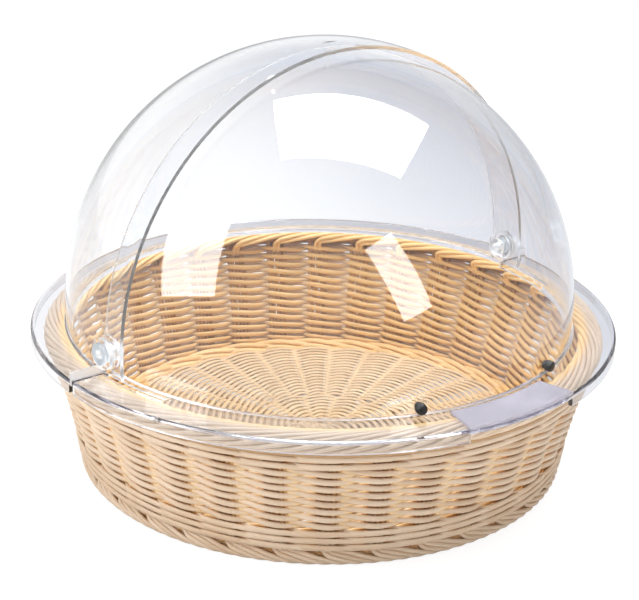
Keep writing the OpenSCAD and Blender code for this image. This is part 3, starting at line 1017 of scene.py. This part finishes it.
def build_handling():
    """Smudges on a base roughness, and slow waves as a height."""
    group, given, result = new_group(
        "handling_marks",
        [("Base", "NodeSocketFloat", 0.02), ("Smudges", "NodeSocketFloat", 0.03),
         ("Waves", "NodeSocketFloat", 6.0)],
        [("Roughness", "NodeSocketFloat"), ("Height", "NodeSocketFloat")])
    place = add(group, "TexCoord").outputs["Object"]
    wipe = add(group, "TexNoise", {"Vector": place, "Scale": SMUDGE_SCALE, "Detail": 5.0}).outputs["Fac"]
    wave = add(group, "TexNoise", {"Vector": place, "Scale": given["Waves"], "Detail": 0.0}).outputs["Fac"]
    smudge = maths(group, "MULTIPLY", eased(group, wipe, *SMUDGE_FROM_TO), given["Smudges"])
    group.links.new(maths(group, "ADD", given["Base"], smudge), result["Roughness"])
    group.links.new(wave, result["Height"])
    return group


HANDLING = build_handling()
print("handling marks:", len(HANDLING.nodes), "nodes")

# %% [markdown]
# ## Faces that differ from the rest
#
# On a moulded hood the large faces are polished and the narrow ones a little matt. In the photo
# the flange is also greyer than the domes, with a thin dark line along the corner of its lip and
# a darker one where the two flanges meet. The flange's grey and the lip's dark line are painted
# shade, standing in for the shade and the dark refraction seen in the clear plastic there. Each
# solid has one material only, so a point's place and normal have to tell which face it is on.

# %% Masks on the hood
FLANGE_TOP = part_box("lift_grip")[0][2]
FLANGE_THICK = 3.2 * MM
ABOVE_FLANGE = 0.4 * MM
BELOW_FLANGE = 0.5 * MM
NARROW_FACING = 0.6
UPRIGHT_LEVEL = 0.5
FLANGE_MATT = 0.08
CORNER_LEVELS = (0.15, 0.97)
SEAM_REACH = 6 * MM
SEAM_FACING = 0.7


def object_place(tree):
    """The X, Y and Z of a point in the piece's own axes."""
    return split(tree, add(tree, "TexCoord").outputs["Object"])


def turned_along(tree, axis):
    """How much the surface's normal points along an axis of the piece, either way."""
    return maths(tree, "ABSOLUTE", split(tree, add(tree, "TexCoord").outputs["Normal"])[axis])


def on_flange(tree):
    """1 on the flange and its lip, 0 on the domes."""
    return maths(tree, "LESS_THAN", object_place(tree)["Z"], FLANGE_TOP + ABOVE_FLANGE)


def moulded_edge(tree):
    """1 on the domes' narrow faces, and a small share on the upright faces of the flange."""
    place = add(tree, "TexCoord").outputs["Object"]
    normal = add(tree, "TexCoord").outputs["Normal"]
    from_hub = add(tree, "VectorMath", {0: place, 1: HUB}, operation="SUBTRACT").outputs[0]
    outward = add(tree, "VectorMath", {0: from_hub}, operation="NORMALIZE").outputs[0]
    facing = maths(tree, "ABSOLUTE", dot(tree, outward, normal))
    height = split(tree, place)["Z"]
    narrow = maths(tree, "LESS_THAN", facing, NARROW_FACING)
    upright = maths(tree, "LESS_THAN", turned_along(tree, "Z"), UPRIGHT_LEVEL)
    near = maths(tree, "GREATER_THAN", height, FLANGE_TOP - FLANGE_THICK - BELOW_FLANGE)
    low = maths(tree, "MULTIPLY", maths(tree, "MULTIPLY", upright, near), FLANGE_MATT)
    return blended(tree, maths(tree, "GREATER_THAN", height, FLANGE_TOP), low, narrow)


def lip_corner(tree):
    """1 on the rounded corner between the flange and its lip."""
    level = turned_along(tree, "Z")
    rounded = maths(tree, "MULTIPLY", maths(tree, "GREATER_THAN", level, CORNER_LEVELS[0]),
                    maths(tree, "LESS_THAN", level, CORNER_LEVELS[1]))
    return maths(tree, "MULTIPLY", rounded, on_flange(tree))


def seam_face(tree):
    """1 on the end faces of the two flanges, where they meet below the pivots."""
    ends = maths(tree, "GREATER_THAN", turned_along(tree, "Y"), SEAM_FACING)
    off_middle = maths(tree, "ABSOLUTE", object_place(tree)["Y"])
    near = maths(tree, "LESS_THAN", off_middle, SEAM_REACH)
    return maths(tree, "MULTIPLY", ends, maths(tree, "MULTIPLY", near, on_flange(tree)))


# %% [markdown]
# ## The clear plastic
#
# The hood is moulded acrylic. Clear plastic could be faked with a transparent shader and a rim
# effect, but a Principled BSDF with full transmission bends the light in the real wall thickness
# from the frame, so edges go dark and the flange lights up by themselves. Only the shadows are
# simplified: for shadow rays the plastic is transparent, so lamps reach the basket through it.
# The grip is milky: it is rougher and lets a little less through. The bumpers are soft rubber.

# %% Clear plastic
ACRYLIC_IOR = 1.58
NO_SHADOW = (1, 1, 1, 1)
# Painted shade: the flange's greyer tint and the lip corner's dark colour stand in for the shade and dark
# refraction seen in the clear plastic there.
FLANGE_SHADE_TINT = (0.87, 0.855, 0.86)
LIP_CORNER_SHADE = (0.45, 0.43, 0.49, 1)
SEAM = (0.34, 0.32, 0.38, 1)


def worn(tree, shader, strength, depth, **values):
    """Bumps a surface by its handling marks and gives their roughness."""
    marks = place_group(tree, HANDLING, **values)
    bump = add(tree, "Bump", {"Strength": strength, "Distance": depth, "Height": marks["Height"]})
    tree.links.new(bump.outputs[0], shader.inputs["Normal"])
    return marks["Roughness"]


def let_lamps_through(tree, shader, output, colour):
    """The shader for the eye, and plain transparency of one colour for shadow rays."""
    clear = add(tree, "BsdfTransparent", {"Color": colour})
    shadow = add(tree, "LightPath").outputs["Is Shadow Ray"]
    both = add(tree, "MixShader", {0: shadow, 1: shader.outputs[0], 2: clear.outputs[0]})
    tree.links.new(both.outputs[0], output.inputs["Surface"])


def clear_plastic(name, tint, roughness, smudges, waves, depth, edge_roughness):
    """Clear moulded plastic that lets the lamps through."""
    material, tree, shader, output = new_material(name)
    wiped = worn(tree, shader, 1.0, depth, Base=roughness, Smudges=smudges, Waves=waves)
    flange_shaded = tuple(channel * share for channel, share in zip(tint, FLANGE_SHADE_TINT))
    # Painted shade on the flange and along the lip's corner.
    colour = mixed(tree, on_flange(tree), (*tint, 1), (*flange_shaded, 1))
    colour = mixed(tree, lip_corner(tree), colour, LIP_CORNER_SHADE)
    colour = mixed(tree, seam_face(tree), colour, SEAM)
    matt = maths(tree, "MULTIPLY", moulded_edge(tree), edge_roughness)
    shader.inputs["Transmission Weight"].default_value = 1.0
    shader.inputs["IOR"].default_value = ACRYLIC_IOR
    tree.links.new(colour, shader.inputs["Base Color"])
    tree.links.new(maths(tree, "MAXIMUM", wiped, matt), shader.inputs["Roughness"])
    let_lamps_through(tree, shader, output, NO_SHADOW)
    return material


DOME_PLASTIC = clear_plastic("dome_plastic", tint=(0.955, 0.972, 0.995), roughness=0.015, smudges=0.02,
                             waves=5.0, depth=0.6 * MM, edge_roughness=0.5)
PIVOT_PLASTIC = clear_plastic("pivot_clear", tint=(0.92, 0.94, 0.95), roughness=0.30, smudges=0.10,
                              waves=80.0, depth=0.2 * MM, edge_roughness=0.3)
print("clear finishes:", DOME_PLASTIC.name, PIVOT_PLASTIC.name)

# %% Milky plastic and rubber
MILKY_IOR = 1.46
MILKY_TRANSMISSION = 0.85
MILKY_SHADOW = (0.85, 0.85, 0.88, 1)
RUBBER_DEEP = (0.006, 0.006, 0.007, 1)
RUBBER_DUSTY = (0.028, 0.027, 0.027, 1)
SPECK_SCALE = 1500.0


def milky_plastic(name, colour):
    """The grip's translucent strip."""
    material, tree, shader, output = new_material(name)
    wiped = worn(tree, shader, 0.4, 0.3 * MM, Base=0.12, Smudges=0.15, Waves=60.0)
    shader.inputs["Base Color"].default_value = (*colour, 1)
    shader.inputs["Transmission Weight"].default_value = MILKY_TRANSMISSION
    shader.inputs["IOR"].default_value = MILKY_IOR
    tree.links.new(wiped, shader.inputs["Roughness"])
    let_lamps_through(tree, shader, output, MILKY_SHADOW)
    return material


def black_rubber(name):
    """Soft black rubber with a fine speckle of dust."""
    material, tree, shader, _ = new_material(name)
    wiped = worn(tree, shader, 0.3, 0.2 * MM, Base=0.5, Smudges=0.25, Waves=900.0)
    place = add(tree, "TexCoord").outputs["Object"]
    speck = add(tree, "TexNoise", {"Vector": place, "Scale": SPECK_SCALE, "Detail": 2.0}).outputs["Fac"]
    tree.links.new(mixed(tree, speck, RUBBER_DEEP, RUBBER_DUSTY), shader.inputs["Base Color"])
    tree.links.new(wiped, shader.inputs["Roughness"])
    return material


GRIP_PLASTIC = milky_plastic("grip_milky", (0.70, 0.68, 0.73))
BUMPER_RUBBER = black_rubber("bumper_rubber")
print("other finishes:", GRIP_PLASTIC.name, BUMPER_RUBBER.name)

# %% [markdown]
# ## Finishes for the frame's own pieces
#
# The hood's solids are already the real shapes, so only their materials are exchanged.

# %% Finishes on the frame
def finish_node(name, material):
    """Puts a material on a piece of the frame."""
    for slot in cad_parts[name].material_slots:
        slot.material = material


for cover in ("rear_cover", "front_cover"):
    finish_node(cover, DOME_PLASTIC)
finish_node("lift_grip", GRIP_PLASTIC)
for side in ("left", "right"):
    for part in ("pivot_pin", "pivot_spacer", "pivot_cap"):
        finish_node(side + "_" + part, PIVOT_PLASTIC)
    finish_node(side + "_bumper", BUMPER_RUBBER)
print("finishes:", len(bpy.data.materials))
